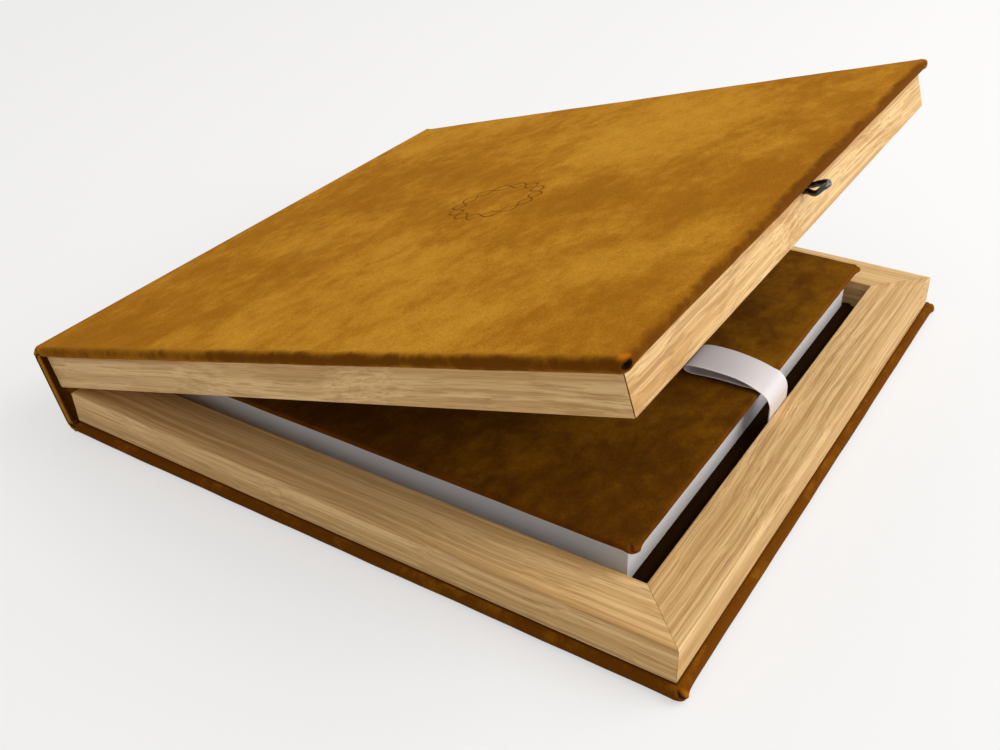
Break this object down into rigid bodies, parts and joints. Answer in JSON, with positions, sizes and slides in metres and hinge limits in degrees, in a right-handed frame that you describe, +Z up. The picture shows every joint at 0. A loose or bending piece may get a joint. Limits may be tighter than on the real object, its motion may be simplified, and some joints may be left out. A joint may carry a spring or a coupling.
{
  "type": "boxed album",
  "caption": "Book-style presentation box of oak frames and velvet-covered boards, with a square album, lifting ribbon and hinged lid.",
  "frame": {"origin": "underside of the base board, below the middle of the tray frame", "axes": "+X from the spine to the fore edge, +Y from near to far side, +Z up, out of the open tray"},
  "size_m": [0.4047, 0.379, 0.1619],
  "materials": {
    "box_velvet": "short-pile velvet, mustard brown, matt",
    "lining_velvet": "short-pile velvet, dark brown, matt",
    "album_velvet": "short-pile velvet over board, matt",
    "page_card": "white layflat card pages, trimmed edge",
    "oak": "light oak, fine straight grain, thin satin varnish",
    "satin_ribbon": "off-white satin ribbon",
    "black_cord": "glossy black round cord"
  },
  "bodies": {
    "tray": {"base_board": "box_velvet", "tray_rail_near": "oak", "tray_rail_fore": "oak", "tray_rail_far": "oak", "tray_rail_spine": "oak", "tray_lining": "lining_velvet", "album_back_cover": "album_velvet", "album_pages": "page_card", "album_front_cover": "album_velvet", "album_spine": "album_velvet", "lifting_ribbon": "satin_ribbon"},
    "spine": {"spine_board": "box_velvet"},
    "lid": {"lid_board": "box_velvet", "lid_rail_near": "oak", "lid_rail_fore": "oak", "lid_rail_far": "oak", "lid_rail_spine": "oak", "lid_lining": "lining_velvet", "pull_loop": "black_cord"}
  },
  "joints": [
    {"name": "spine_hinge", "type": "hinge", "parent": "tray", "child": "spine", "pos_m": [-0.1955, 0, 0], "axis": [0, -1, 0], "range_deg": [-16.6, 73.4]},
    {"name": "lid_hinge", "type": "hinge", "parent": "spine", "child": "lid", "pos_m": [-0.21078, 0, 0.05127], "axis": [0, -1, 0], "range_deg": [0, 90]}
  ]
}
